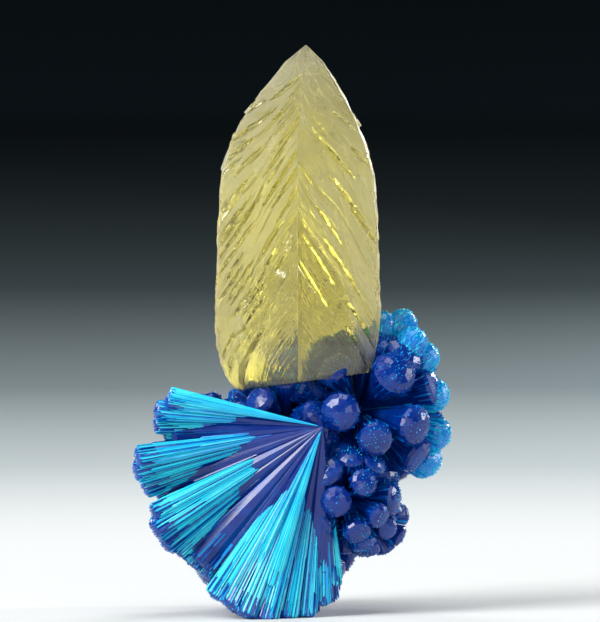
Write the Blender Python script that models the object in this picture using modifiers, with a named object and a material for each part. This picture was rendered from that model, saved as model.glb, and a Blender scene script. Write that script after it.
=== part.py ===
"""A honey-yellow calcite crystal grown on blue cavansite rosettes.

Two solids: the pointed, ledged calcite crystal, and the cavansite that it
stands on, a fused mass of bundles that radiate from a few centres.
X is to the right, Y to the back, Z up, in metres. The specimen rests on the
flat cut under its cavansite, and the origin is under the middle of its box.
"""

import math
import random
from dataclasses import dataclass

import bmesh
import bpy
from mathutils import Matrix, Vector

MM = 0.001

# Middle of the specimen's box in the frame of the sizes below, in millimetres
BOX_MIDDLE = Vector((0.088, 0.050, 0.0))

COLLECTION = "calcite_on_cavansite"
CUTTER_COLLECTION = "cutters"

# Calcite crystal, in millimetres
APEX_HEIGHT = 32.0
AXIS_TOP = Vector((0.79, -0.85))
AXIS_LOW = Vector((0.34, -0.85))
AXIS_STRAIGHT_BELOW = 27.0
FACES = 6
DEPTH_FACTOR = 0.85
FACE_BULGE = 0.03
# Height above the rest face, and half the width seen from the front
PROFILE = (
    (4.0, 2.4), (11.5, 2.7), (12.4, 3.1), (12.9, 3.5), (13.3, 3.8), (14.0, 4.15),
    (15.0, 4.35), (17.2, 4.45), (20.8, 4.35), (24.7, 4.15), (26.4, 3.7), (27.7, 3.15),
    (29.4, 2.12), (31.0, 1.05), (32.0, 0.0),
)
# The rows of ledges climb to every other edge and drop to the edges between
ZIGZAG_HALF_RISE = 2.9
ZIGZAG_FADE = 8.0
LEDGE_LOWEST = 8.6
LEDGE_HIGHEST = 31.1
LEDGE_ROWS = 20
LEDGE_DEPTH = 0.26
LEDGE_DEPTH_VARIES = 0.16
LEDGE_LIP = 0.09
SAMPLES_A_FACE = 4
CRYSTAL_SEED = 11
# Underside of the crystal: a plane that rises to the right
UNDERSIDE_POINT = Vector((0.0, 0.0, 13.0))
UNDERSIDE_RISE = 0.13

# Gap between the crystal and the cavansite that it grew round
CONTACT_GAP = 0.42

# Cavansite, in millimetres
CUT_HEIGHT = 0.0
CONE_SIDES = 10
VOXEL = 0.27
CAVANSITE_TRIANGLES = 6800
CONTACT_TRIANGLES = 5000
GOLDEN_TURN = math.pi * (3.0 - math.sqrt(5.0))


@dataclass(frozen=True)
class Rosette:
    """A ball of bundles about one centre, sizes in millimetres."""

    centre: Vector
    reach: float
    heart: float
    bundles: int
    half_angle: float
    seed: int


ROSETTES = (
    Rosette(Vector((3.7, 0.4, 11.4)), 5.35, 4.2, 34, 14.5, 3),
    Rosette(Vector((2.9, -1.9, 6.6)), 3.6, 2.8, 28, 15.5, 5),
    Rosette(Vector((4.4, -1.0, 5.3)), 2.4, 1.7, 18, 18.0, 6),
    Rosette(Vector((-0.3, -0.8, 10.6)), 3.8, 3.0, 28, 15.0, 7),
    Rosette(Vector((-1.0, 1.6, 4.2)), 5.2, 4.3, 36, 14.0, 9),
    Rosette(Vector((-3.5, 1.3, 8.9)), 3.9, 3.1, 30, 15.0, 13),
)

# Pointed petals on the upper right rosette: direction, length, half angle
PETAL_ROOT = 0
PETALS = (
    (Vector((0.28, -0.20, 0.94)), 6.0, 8.5),
    (Vector((0.46, -0.10, 0.88)), 6.45, 9.0),
    (Vector((0.60, -0.30, 0.75)), 6.1, 9.5),
    (Vector((0.78, -0.15, 0.62)), 5.8, 10.0),
    (Vector((0.98, -0.10, 0.20)), 5.4, 11.0),
    (Vector((0.95, 0.00, -0.29)), 5.6, 11.0),
    (Vector((0.80, -0.10, -0.60)), 5.8, 11.0),
)

# The fan: bundles that leave one centre at the front and open to the left
# and down. Angles are in degrees, from +X over +Z, and back from the front
FAN_CENTRE = Vector((1.7, -5.2, 10.6))
FAN_HEART = 1.0
# Lobes in the open face: angle, back angle, length, half angle
FAN_FACE_SET_BACK = 1.3
FAN_LOBES = (
    (170.5, -8.0, 9.0, 3.2), (174.5, -5.0, 9.5, 3.6), (179.0, 0.0, 9.5, 3.8),
    (183.0, 4.0, 9.0, 3.2),
    (189.2, -8.0, 10.7, 3.4), (193.5, -5.0, 10.9, 3.8), (198.5, 1.0, 10.7, 4.0),
    (203.0, 6.0, 10.2, 3.4),
    (207.3, -7.0, 10.8, 3.2), (211.8, -6.0, 11.2, 3.8), (216.8, -1.0, 11.2, 4.0),
    (221.5, 3.0, 10.9, 3.6), (226.5, 6.0, 10.9, 3.8), (232.0, 7.0, 10.9, 3.6),
    (238.0, -3.0, 11.4, 3.6), (243.0, -8.0, 11.5, 4.0), (248.0, -9.0, 11.6, 3.8),
    (253.5, -8.0, 11.6, 3.8), (259.0, -5.0, 11.1, 3.6), (264.5, -2.0, 10.8, 3.6),
    (269.5, 1.0, 10.1, 3.4), (274.0, 4.0, 9.1, 3.2),
)
# Rows behind the face: back angle, length, first angle, last angle, bundles
FAN_ROWS = (
    (14.0, 10.6, 175.5, 268.0, 12),
    (25.0, 10.3, 176.0, 268.0, 11),
    (37.0, 9.6, 177.0, 270.0, 10),
    (50.0, 8.6, 180.0, 270.0, 8),
    (64.0, 7.8, 184.0, 270.0, 6),
)
# The rows are shorter under the top rib than lower down
FAN_SHORT_ABOVE = 187.0
FAN_SHORT_FACTOR = 0.85
# Bundles that point between these angles are taken down past the flat cut
FAN_CUT_ANGLES = (243.0, 266.0)
FAN_CUT_OVERRUN = 0.5
FAN_CUT_STRETCH = 1.3
FAN_ROW_HALF_ANGLE = 7.2
FAN_SEED = 21
# Ribs that stand out of the face: angle, back angle, length, half angle
FAN_RIBS = (
    (168.3, 0.5, 8.8, 3.0), (252.0, -1.0, 9.5, 3.2), (245.0, 0.0, 10.0, 3.0),
)


def profile_half_width(height):
    """Half width of the crystal at a height, by straight runs between points."""
    last = PROFILE[0]
    for point in PROFILE:
        if height <= point[0]:
            if point[0] == last[0]:
                return point[1]
            share = (height - last[0]) / (point[0] - last[0])
            return last[1] + share * (point[1] - last[1])
        last = point
    return 0.0


def crystal_axis(height):
    """Place of the crystal's axis, which leans a little towards its tip."""
    span = APEX_HEIGHT - AXIS_STRAIGHT_BELOW
    share = min(max((height - AXIS_STRAIGHT_BELOW) / span, 0.0), 1.0)
    return AXIS_LOW.lerp(AXIS_TOP, share)


def crystal_point(turn, level, stands_out):
    """A point of the crystal's skin.

    turn counts faces round the axis from the front edge, level is the mean
    height of its row, and stands_out is how far a ledge stands proud.
    """
    face = math.floor(turn)
    along = turn - face
    first = math.radians(-90.0 + 60.0 * face)
    second = math.radians(-90.0 + 60.0 * (face + 1))
    corner_a = Vector((math.cos(first), math.sin(first) * DEPTH_FACTOR))
    corner_b = Vector((math.cos(second), math.sin(second) * DEPTH_FACTOR))
    flat = corner_a.lerp(corner_b, along)
    flat *= 1.0 + FACE_BULGE * (1.0 - (2.0 * along - 1.0) ** 2)
    climb = 1.0 - 2.0 * along if face % 2 == 0 else 2.0 * along - 1.0
    fade = min(max((APEX_HEIGHT - level) / ZIGZAG_FADE, 0.0), 1.0)
    height = level + ZIGZAG_HALF_RISE * fade * climb
    corner_radius = profile_half_width(height) / math.cos(math.radians(30.0))
    place = crystal_axis(height) + flat * corner_radius + flat.normalized() * stands_out
    return Vector((place.x, place.y, height))


def crystal_rings():
    """Rows of points up the crystal, two for each row of ledges."""
    chance = random.Random(CRYSTAL_SEED)
    count = FACES * SAMPLES_A_FACE
    step = (LEDGE_HIGHEST - LEDGE_LOWEST) / LEDGE_ROWS
    rings = []
    for row in range(LEDGE_ROWS + 1):
        level = LEDGE_LOWEST + row * step
        fade = min((APEX_HEIGHT - level) / ZIGZAG_FADE + 0.15, 1.0)
        flush, proud = [], []
        for index in range(count):
            turn = index / SAMPLES_A_FACE
            at_edge = index % SAMPLES_A_FACE == 0
            depth = LEDGE_DEPTH + chance.uniform(-1.0, 1.0) * LEDGE_DEPTH_VARIES
            depth *= 0.35 if at_edge else 1.0
            shift = chance.uniform(-0.3, 0.3) * step
            flush.append(crystal_point(turn, level + shift - LEDGE_LIP, 0.0))
            proud.append(crystal_point(turn, level + shift, depth * fade))
        rings.append(flush)
        rings.append(proud)
    return rings


def build_crystal_body():
    """The whole crystal before its underside is cut."""
    mesh = bmesh.new()
    rows = [[mesh.verts.new(point * MM) for point in ring] for ring in crystal_rings()]
    count = len(rows[0])
    for low, high in zip(rows, rows[1:]):
        for index in range(count):
            after = (index + 1) % count
            mesh.faces.new((low[index], low[after], high[after], high[index]))
    tip_axis = crystal_axis(APEX_HEIGHT)
    tip = mesh.verts.new(Vector((tip_axis.x, tip_axis.y, APEX_HEIGHT)) * MM)
    for index in range(count):
        mesh.faces.new((rows[-1][index], rows[-1][(index + 1) % count], tip))
    mesh.faces.new(list(reversed(rows[0])))
    bmesh.ops.triangulate(mesh, faces=mesh.faces)
    bmesh.ops.recalc_face_normals(mesh, faces=mesh.faces)
    return new_object("calcite_crystal", mesh, COLLECTION)


def fan_direction(angle, back):
    """Unit vector from an angle in the face and an angle back from it."""
    angle = math.radians(angle)
    back = math.radians(back)
    flat = math.cos(back)
    return Vector((math.cos(angle) * flat, math.sin(back), math.sin(angle) * flat))


class Mass:
    """Bundles and balls that are fused into one solid, each grown by a margin."""

    def __init__(self, grown=0.0):
        self.mesh = bmesh.new()
        self.grown = grown

    def ball(self, centre, radius, detail=3):
        """A ball, for the solid heart of a rosette."""
        place = Matrix.Translation(centre * MM)
        bmesh.ops.create_icosphere(
            self.mesh, subdivisions=detail, radius=(radius + self.grown) * MM, matrix=place)

    def bundle(self, root, direction, length, half_angle, blunt=0.55):
        """A cone that widens from root to its domed end."""
        direction = direction.normalized()
        end_radius = length * math.tan(math.radians(half_angle))
        dome = min(end_radius * blunt, length * 0.2)
        straight = length - dome
        end_radius += self.grown
        dome += self.grown
        turn = direction.to_track_quat("Z", "Y").to_matrix().to_4x4()
        middle = Matrix.Translation((root + direction * straight / 2.0) * MM)
        bmesh.ops.create_cone(
            self.mesh, cap_ends=True, segments=CONE_SIDES, radius1=(0.12 + self.grown) * MM,
            radius2=end_radius * MM, depth=straight * MM, matrix=middle @ turn)
        scale = Matrix.Diagonal((end_radius * MM, end_radius * MM, dome * MM, 1.0))
        end = Matrix.Translation((root + direction * straight) * MM)
        bmesh.ops.create_uvsphere(
            self.mesh, u_segments=CONE_SIDES, v_segments=6, radius=1.0,
            matrix=end @ turn @ scale)

    def fused(self, name, collection, triangles):
        """Fuse everything into one closed solid of about so many triangles."""
        piece = new_object(name, self.mesh, collection)
        fuse = piece.modifiers.new("fuse", "REMESH")
        fuse.mode = "VOXEL"
        fuse.voxel_size = VOXEL * MM
        bake_modifiers(piece)
        keep_largest_shell(piece)
        thin = piece.modifiers.new("thin", "DECIMATE")
        thin.ratio = triangles / (2.0 * len(piece.data.polygons))
        bake_modifiers(piece)
        return piece


def ball_directions(count, chance):
    """Directions spread evenly over a ball, each a little off its place."""
    for index in range(count):
        up = 1.0 - 2.0 * (index + 0.5) / count
        flat = math.sqrt(1.0 - up * up)
        turn = GOLDEN_TURN * index
        loose = Vector([chance.uniform(-0.10, 0.10) for _ in range(3)])
        yield (Vector((flat * math.cos(turn), flat * math.sin(turn), up)) + loose).normalized()


def add_rosette(mass, rosette):
    """A whole rosette: heart and bundles all round."""
    chance = random.Random(rosette.seed)
    mass.ball(rosette.centre, rosette.heart)
    for direction in ball_directions(rosette.bundles, chance):
        length = rosette.reach * chance.uniform(0.93, 1.0)
        half_angle = rosette.half_angle * chance.uniform(0.8, 1.1)
        mass.bundle(rosette.centre, direction, length, half_angle)


def add_petals(mass):
    """Pointed petals at the right-hand rim of the upper rosette."""
    root = ROSETTES[PETAL_ROOT].centre
    for direction, length, half_angle in PETALS:
        mass.bundle(root, direction, length, half_angle, blunt=1.5)


def add_fan(mass):
    """The broken-open rosette: lobes in its face, ribs on it, rows behind."""
    chance = random.Random(FAN_SEED)
    mass.ball(FAN_CENTRE + Vector((0.0, 0.4, 0.0)), FAN_HEART, 2)
    set_back = FAN_CENTRE + Vector((0.0, FAN_FACE_SET_BACK, 0.0))
    for angle, back, length, half_angle in FAN_LOBES:
        mass.bundle(set_back, fan_direction(angle, back), length, half_angle)
    for angle, back, length, half_angle in FAN_RIBS:
        mass.bundle(FAN_CENTRE, fan_direction(angle, back), length, half_angle)
    for back, length, first, last, bundles in FAN_ROWS:
        for index in range(bundles):
            angle = first + (last - first) * index / (bundles - 1) + chance.uniform(-2.0, 2.0)
            direction = fan_direction(angle, back)
            reach = length * chance.uniform(0.95, 1.03)
            if angle < FAN_SHORT_ABOVE:
                reach *= FAN_SHORT_FACTOR
            if FAN_CUT_ANGLES[0] < angle < FAN_CUT_ANGLES[1]:
                to_ground = (FAN_CENTRE.z + FAN_CUT_OVERRUN) / -direction.z
                reach = min(max(reach, to_ground), reach * FAN_CUT_STRETCH)
            half_angle = FAN_ROW_HALF_ANGLE * chance.uniform(0.9, 1.1)
            mass.bundle(FAN_CENTRE, direction, reach, half_angle)


def cavansite_mass(grown=0.0):
    """Every rosette of the cavansite, grown by a margin."""
    mass = Mass(grown)
    for rosette in ROSETTES:
        add_rosette(mass, rosette)
    add_petals(mass)
    add_fan(mass)
    return mass


def build_cavansite():
    """All the rosettes fused into one solid and cut flat underneath."""
    piece = cavansite_mass().fused("cavansite", COLLECTION, CAVANSITE_TRIANGLES)
    cut(piece, ground_cutter())
    return piece


def contact_cutter():
    """The cavansite grown by the gap, which shapes the foot of the crystal."""
    mass = cavansite_mass(CONTACT_GAP)
    cutter = mass.fused("cutter_contact", CUTTER_COLLECTION, CONTACT_TRIANGLES)
    show_as_cutter(cutter)
    return cutter


def bake_modifiers(piece):
    """Replace an object's mesh by the mesh that its modifiers make."""
    bpy.context.view_layer.update()
    graph = bpy.context.evaluated_depsgraph_get()
    baked = bpy.data.meshes.new_from_object(piece.evaluated_get(graph))
    piece.modifiers.clear()
    piece.data = baked


def keep_largest_shell(piece):
    """Delete every closed shell but the largest, so no cavity is sealed in."""
    mesh = bmesh.new()
    mesh.from_mesh(piece.data)
    unseen = set(mesh.verts)
    shells = []
    while unseen:
        edge = [unseen.pop()]
        shell = set(edge)
        while edge:
            for link in edge.pop().link_edges:
                for vert in link.verts:
                    if vert in unseen:
                        unseen.remove(vert)
                        shell.add(vert)
                        edge.append(vert)
        shells.append(shell)
    shells.sort(key=len)
    for shell in shells[:-1]:
        bmesh.ops.delete(mesh, geom=list(shell), context="VERTS")
    mesh.to_mesh(piece.data)
    mesh.free()


def cut(piece, cutter):
    """Take a closed cutter away from a piece."""
    modifier = piece.modifiers.new("cut_" + cutter.name, "BOOLEAN")
    modifier.operation = "DIFFERENCE"
    modifier.solver = "EXACT"
    modifier.object = cutter


def ground_cutter():
    """A block whose top is the flat cut under the cavansite."""
    mesh = bmesh.new()
    size = 40.0 * MM
    place = Matrix.Translation((0.0, 0.0, CUT_HEIGHT * MM - size / 2.0))
    bmesh.ops.create_cube(mesh, size=size, matrix=place)
    return new_cutter("ground", mesh)


def underside_cutter():
    """A block whose top is the sloping underside of the crystal."""
    mesh = bmesh.new()
    size = 40.0 * MM
    slope = Matrix.Rotation(-math.atan(UNDERSIDE_RISE), 4, "Y")
    place = Matrix.Translation(UNDERSIDE_POINT * MM)
    lower = Matrix.Translation((0.0, 0.0, -size / 2.0))
    bmesh.ops.create_cube(mesh, size=size, matrix=place @ slope @ lower)
    return new_cutter("underside", mesh)


def new_object(name, mesh, collection):
    """Put a bmesh in a new object in a named collection."""
    data = bpy.data.meshes.new(name)
    mesh.to_mesh(data)
    mesh.free()
    piece = bpy.data.objects.new(name, data)
    bpy.data.collections[collection].objects.link(piece)
    return piece


def new_cutter(name, mesh):
    """A cutter: shown as wire and never rendered."""
    cutter = new_object("cutter_" + name, mesh, CUTTER_COLLECTION)
    show_as_cutter(cutter)
    return cutter


def show_as_cutter(cutter):
    """Hide a cutter from renders and show it as wire."""
    cutter.hide_render = True
    cutter.display_type = "WIRE"


def give_material(piece, name, colour, roughness, transmission=0.0):
    """A Principled material of one colour."""
    material = bpy.data.materials.new(name)
    material.use_nodes = True
    shader = material.node_tree.nodes["Principled BSDF"]
    shader.inputs["Base Color"].default_value = (*colour, 1.0)
    shader.inputs["Roughness"].default_value = roughness
    shader.inputs["Metallic"].default_value = 0.0
    shader.inputs["Transmission Weight"].default_value = transmission
    material.diffuse_color = (*colour, 1.0)
    piece.data.materials.clear()
    piece.data.materials.append(material)


def centre_specimen():
    """Hang every piece and cutter on an empty that puts the origin under its middle."""
    middle = bpy.data.objects.new("specimen_middle", None)
    bpy.context.scene.collection.objects.link(middle)
    for collection in (COLLECTION, CUTTER_COLLECTION):
        for piece in bpy.data.collections[collection].objects:
            piece.parent = middle
    middle.location = -BOX_MIDDLE * MM


def clear_scene():
    """Start from an empty scene with the two collections."""
    for piece in list(bpy.data.objects):
        bpy.data.objects.remove(piece, do_unlink=True)
    for name in (COLLECTION, CUTTER_COLLECTION):
        group = bpy.data.collections.new(name)
        bpy.context.scene.collection.children.link(group)


def main():
    clear_scene()
    crystal = build_crystal_body()
    cut(crystal, underside_cutter())
    cut(crystal, contact_cutter())
    give_material(crystal, "honey_calcite", (0.62, 0.55, 0.20), 0.18, 0.8)
    cavansite = build_cavansite()
    give_material(cavansite, "blue_cavansite", (0.0, 0.22, 0.60), 0.35)
    centre_specimen()


main()
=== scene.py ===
"""Looks of a honey-yellow calcite crystal that grew on blue cavansite rosettes.

The calcite is one fine mesh: a six-sided pointed form whose faces carry rows of
plates and lens-shaped pits. The cavansite is thousands of thin pointed blades
that radiate from a few centres, in the same bundles as the solids.
Sizes are in millimetres in the maker's frame, and become metres in the meshes.
"""

import logging
import math
import random
from dataclasses import dataclass, field
from enum import Enum

import bmesh
import bpy
import numpy as np
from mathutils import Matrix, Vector


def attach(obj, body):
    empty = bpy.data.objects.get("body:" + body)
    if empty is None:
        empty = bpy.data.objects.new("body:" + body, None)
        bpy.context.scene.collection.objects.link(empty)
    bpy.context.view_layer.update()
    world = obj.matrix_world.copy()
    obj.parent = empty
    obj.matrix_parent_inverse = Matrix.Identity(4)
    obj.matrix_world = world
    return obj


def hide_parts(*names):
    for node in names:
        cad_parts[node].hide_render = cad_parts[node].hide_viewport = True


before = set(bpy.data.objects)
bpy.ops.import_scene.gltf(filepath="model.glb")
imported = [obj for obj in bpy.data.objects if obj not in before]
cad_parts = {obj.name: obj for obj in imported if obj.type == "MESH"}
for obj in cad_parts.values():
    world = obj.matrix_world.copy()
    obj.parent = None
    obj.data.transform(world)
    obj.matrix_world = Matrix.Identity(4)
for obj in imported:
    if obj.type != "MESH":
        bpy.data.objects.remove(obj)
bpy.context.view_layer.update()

LOG = logging.getLogger("calcite_on_cavansite")

MM = 0.001
BODY = "root"
# Middle of the specimen's box in the maker's frame, which is the origin here
BOX_MIDDLE = np.array((0.088, 0.050, 0.0))
GOLDEN_TURN = math.pi * (3.0 - math.sqrt(5.0))


class Slot(Enum):
    """The record's material slots."""

    CALCITE = "calcite"
    CAVANSITE = "cavansite"


class Node(Enum):
    """The solids that the pieces here stand for."""

    CRYSTAL = "calcite_crystal"
    ROSETTES = "cavansite"


def unit(rows: np.ndarray) -> np.ndarray:
    """Rows scaled to unit length."""
    return rows / np.linalg.norm(rows, axis=-1, keepdims=True)


def fan_direction(angle: float, back: float) -> np.ndarray:
    """Unit vector from an angle in the fan's face and an angle back from it.

    Args:
        angle: degrees from +X over +Z.
        back: degrees back from the face.

    Returns:
        The unit vector.
    """
    flat = math.cos(math.radians(back))
    angle = math.radians(angle)
    return np.array((math.cos(angle) * flat, math.sin(math.radians(back)), math.sin(angle) * flat))


class MeshStore:
    """Points, faces and one value a point, gathered before they become an object."""

    def __init__(self) -> None:
        """Start empty."""
        self.points: list[np.ndarray] = []
        self.quads: list[np.ndarray] = []
        self.tris: list[np.ndarray] = []
        self.values: list[np.ndarray] = []
        self.count = 0

    def add(
        self, points: np.ndarray, quads: np.ndarray, tris: np.ndarray, values: np.ndarray
    ) -> None:
        """Add one lump of mesh.

        Args:
            points: rows of x, y, z in millimetres.
            quads: rows of four point numbers, counted within this lump.
            tris: rows of three point numbers, counted within this lump.
            values: one number a point.
        """
        self.points.append(points)
        self.quads.append(quads + self.count)
        self.tris.append(tris + self.count)
        self.values.append(values)
        self.count += len(points)

    def to_mesh(self, name: str, value_name: str) -> bpy.types.Mesh:
        """Make a flat-shaded mesh in metres about the origin of the part.

        Args:
            name: the mesh's name.
            value_name: the name that the points' values get.

        Returns:
            The mesh.
        """
        points = (np.concatenate(self.points) - BOX_MIDDLE) * MM
        quads = np.concatenate(self.quads).reshape(-1)
        tris = np.concatenate(self.tris).reshape(-1)
        mesh = mesh_from_faces(name, points, quads, tris)
        store = mesh.attributes.new(value_name, "FLOAT", "POINT")
        store.data.foreach_set("value", np.concatenate(self.values).astype(np.float32))
        mesh.shade_flat()
        return mesh


def mesh_from_faces(
    name: str, points: np.ndarray, quads: np.ndarray, tris: np.ndarray
) -> bpy.types.Mesh:
    """A mesh from points and flat lists of the corners of its faces.

    Args:
        name: the mesh's name.
        points: rows of x, y, z in metres.
        quads: corners of the four-sided faces, one after another.
        tris: corners of the three-sided faces, one after another.

    Returns:
        The mesh.
    """
    mesh = bpy.data.meshes.new(name)
    mesh.vertices.add(len(points))
    mesh.vertices.foreach_set("co", points.astype(np.float32).reshape(-1))
    corners = np.concatenate((quads, tris)).astype(np.int32)
    starts = np.concatenate((
        np.arange(0, len(quads), 4), len(quads) + np.arange(0, len(tris), 3)
    )).astype(np.int32)
    mesh.loops.add(len(corners))
    mesh.loops.foreach_set("vertex_index", corners)
    mesh.polygons.add(len(starts))
    mesh.polygons.foreach_set("loop_start", starts)
    mesh.update(calc_edges=True)
    mesh.validate()
    return mesh


def place_piece(mesh: bpy.types.Mesh, finish: bpy.types.Material, node: Node) -> None:
    """Put a mesh in the scene as a piece that stands for a solid.

    Args:
        mesh: the piece's mesh, whose name the piece takes.
        finish: its material.
        node: the solid that it stands for.
    """
    mesh.materials.append(finish)
    piece = bpy.data.objects.new(mesh.name, mesh)
    bpy.context.scene.collection.objects.link(piece)
    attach(piece, BODY)
    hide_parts(node.value)
    triangles = sum(len(face.vertices) - 2 for face in mesh.polygons)
    LOG.info("%s: %d triangles", piece.name, triangles)


@dataclass(frozen=True)
class Bundle:
    """A cone of blades that widens from its root to a domed end."""

    root: np.ndarray
    direction: np.ndarray
    length: float
    half_angle: float
    blunt: float = 0.55

    @property
    def end_radius(self) -> float:
        """Radius where the dome starts."""
        return self.length * math.tan(math.radians(self.half_angle))

    @property
    def dome(self) -> float:
        """Height of the dome."""
        return min(self.end_radius * self.blunt, self.length * 0.2)

    @property
    def straight(self) -> float:
        """Length from the root to where the dome starts."""
        return self.length - self.dome

    def axes(self) -> tuple[np.ndarray, np.ndarray, np.ndarray]:
        """Find the bundle's own axes.

        Returns:
            Two unit vectors across the bundle, and the one along it.
        """
        along = unit(self.direction)
        helper = np.array((0.0, 0.0, 1.0)) if abs(along[2]) < 0.9 else np.array((1.0, 0.0, 0.0))
        first = unit(np.cross(along, helper))
        return first, np.cross(along, first), along

    def aims(self, share: np.ndarray, turn: np.ndarray) -> tuple[np.ndarray, np.ndarray]:
        """Directions from the root, and how far the dome is along each.

        Args:
            share: distance from the axis as a share of the end's radius.
            turn: angle round the axis, in radians.

        Returns:
            Unit vectors, and the distance from the root to the dome.
        """
        first, second, along = self.axes()
        rise = self.dome * np.sqrt(np.clip(1.0 - share**2, 0.0, 1.0))
        radial = (self.end_radius * share)[:, None]
        side = np.cos(turn)[:, None] * first + np.sin(turn)[:, None] * second
        to_end = radial * side + (self.straight + rise)[:, None] * along
        reach = np.linalg.norm(to_end, axis=1)
        return to_end / reach[:, None], reach


@dataclass(frozen=True)
class BladeCut:
    """How the blades of a kind of bundle are cut and coloured, with painted light and shade in
    their tones, sizes in millimetres.
    """

    width: float
    spacing: float
    rough_end: float
    side_blades: int
    side_start: float
    # Tones: the side tone is painted light on open faces, ribs and petals and painted shade on rows
    # and balls; the middle of each end is a painted highlight, its rim painted shade; the spread is
    # random.
    painted_side_shading: float
    painted_highlight_middle: float
    painted_shade_rim: float
    tone_spread: float
    flatness: float = 0.5
    inset: float = 0.10


class BladeWork:
    """Fills a mesh store with the blades and cores of bundles."""

    CORE_SIDES = 12
    DOME_RINGS = 3
    CORE_FIT = 0.93
    # Distance along the length, and radius, as shares at the core's first two rings
    CORE_FOOT = (0.06, 0.06)
    CORE_WAIST = (0.55, 0.6)
    # Painted shade: a core, in the gaps behind the blades, is this much darker than its rim.
    CORE_PAINTED_SHADE = 0.2
    LEAST_DOME = 0.05
    LEAST_BLADE = 0.25
    END_BLADE_LENGTH = 0.9
    END_START_SHARE = 0.3
    LEAST_BLADES = 12

    def __init__(self, seed: int) -> None:
        """Start with an empty store.

        Args:
            seed: start of the random numbers.
        """
        self.store = MeshStore()
        self.chance = np.random.default_rng(seed)

    def core(self, bundle: Bundle, cut: BladeCut, hue_and_painted_light: float) -> None:
        """A closed cone with a domed end, which fills a bundle behind its blades and is painted
        darker, as painted shade in the gaps.

        Args:
            bundle: the bundle to fill.
            cut: how its blades are cut.
            hue_and_painted_light: how light its end is, painted light and shade over a random hue.
        """
        first, second, along = bundle.axes()
        dome_height = max(bundle.dome - cut.inset, self.LEAST_DOME)
        foot, waist = self.CORE_FOOT, self.CORE_WAIST
        rings = [(foot[0] * bundle.length, foot[1]), (waist[0] * bundle.length, waist[1])]
        rings.append((bundle.straight, 1.0))
        for ring in range(1, self.DOME_RINGS + 1):
            angle = ring / (self.DOME_RINGS + 1) * math.pi / 2.0
            rings.append((bundle.straight + dome_height * math.sin(angle), math.cos(angle)))
        turns = np.arange(self.CORE_SIDES) / self.CORE_SIDES * 2.0 * math.pi
        side = np.cos(turns)[:, None] * first + np.sin(turns)[:, None] * second
        points = [np.array([bundle.root])]
        for distance, share in rings:
            radius = bundle.end_radius * self.CORE_FIT * share
            points.append(bundle.root + along * distance + side * radius)
        points.append(np.array([bundle.root + along * (bundle.straight + dome_height)]))
        points = np.concatenate(points)
        points[:, 2] = np.maximum(points[:, 2], 0.0)
        step = np.arange(self.CORE_SIDES)
        after = (step + 1) % self.CORE_SIDES
        quads = []
        for ring in range(len(rings) - 1):
            low = 1 + ring * self.CORE_SIDES
            high = low + self.CORE_SIDES
            quads.append(np.stack((low + step, low + after, high + after, high + step), axis=1))
        last = 1 + (len(rings) - 1) * self.CORE_SIDES
        tip = len(points) - 1
        tris = np.concatenate((
            np.stack((np.zeros_like(step), 1 + after, 1 + step), axis=1),
            np.stack((last + step, last + after, np.full_like(step, tip)), axis=1),
        ))
        # Painted shade in the gaps behind the blades.
        values = np.full(len(points), max(hue_and_painted_light - self.CORE_PAINTED_SHADE, 0.0))
        self.store.add(points, np.concatenate(quads), tris, values)

    def blades(
        self, root: np.ndarray, aims: np.ndarray, start: np.ndarray, end: np.ndarray,
        cut: BladeCut, tone_low: np.ndarray, tone_high: np.ndarray,
    ) -> None:
        """Thin four-sided blades with pointed ends, all from one root.

        Args:
            root: the centre that they radiate from.
            aims: a unit vector for each blade.
            start: distance from the root where each starts.
            end: distance from the root where each ends.
            cut: their width and flatness.
            tone_low: how light each is at its start.
            tone_high: how light each is at its end.
        """
        down = -aims[:, 2]
        ground = np.where(down > 0.01, root[2] / np.maximum(down, 0.01), np.inf)
        end = np.minimum(end, ground)
        keep = end > start + self.LEAST_BLADE
        aims, start, end = aims[keep], start[keep], end[keep]
        tone_low, tone_high = tone_low[keep], tone_high[keep]
        count = len(aims)
        if count == 0:
            return
        helper = np.where(np.abs(aims[:, 2:3]) < 0.9, (0.0, 0.0, 1.0), (1.0, 0.0, 0.0))
        across = unit(np.cross(aims, helper))
        other = np.cross(aims, across)
        roll = self.chance.uniform(0.0, math.pi, count)[:, None]
        wide = across * np.cos(roll) + other * np.sin(roll)
        thin = other * np.cos(roll) - across * np.sin(roll)
        width = cut.width * self.chance.uniform(0.6, 1.4, count)[:, None] / 2.0
        thin_width = width * cut.flatness * self.chance.uniform(0.7, 1.3, count)[:, None]
        tip_length = np.minimum(width[:, 0] * self.chance.uniform(1.0, 3.5, count), end * 0.2)
        low_share = (0.15 + 0.85 * start / end)[:, None]
        points = np.empty((count, 9, 3))
        corners = (wide * width, thin * thin_width, -wide * width, -thin * thin_width)
        for index, corner in enumerate(corners):
            points[:, index] = root + aims * start[:, None] + corner * low_share
            points[:, 4 + index] = root + aims * (end - tip_length)[:, None] + corner
        slant = self.chance.uniform(-0.6, 0.6, count)[:, None]
        points[:, 8] = root + aims * end[:, None] + wide * width * slant
        points[:, :, 2] = np.maximum(points[:, :, 2], 0.0)
        offsets = (np.arange(count) * 9)[:, None]
        quads = [np.array((3, 2, 1, 0)) + offsets]
        tris = []
        for index in range(4):
            after = (index + 1) % 4
            quads.append(np.array((index, after, 4 + after, 4 + index)) + offsets)
            tris.append(np.array((4 + index, 4 + after, 8)) + offsets)
        values = np.empty((count, 9))
        values[:, :4] = tone_low[:, None]
        values[:, 4:] = tone_high[:, None]
        self.store.add(
            points.reshape(-1, 3), np.concatenate(quads), np.concatenate(tris), values.reshape(-1))

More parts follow.
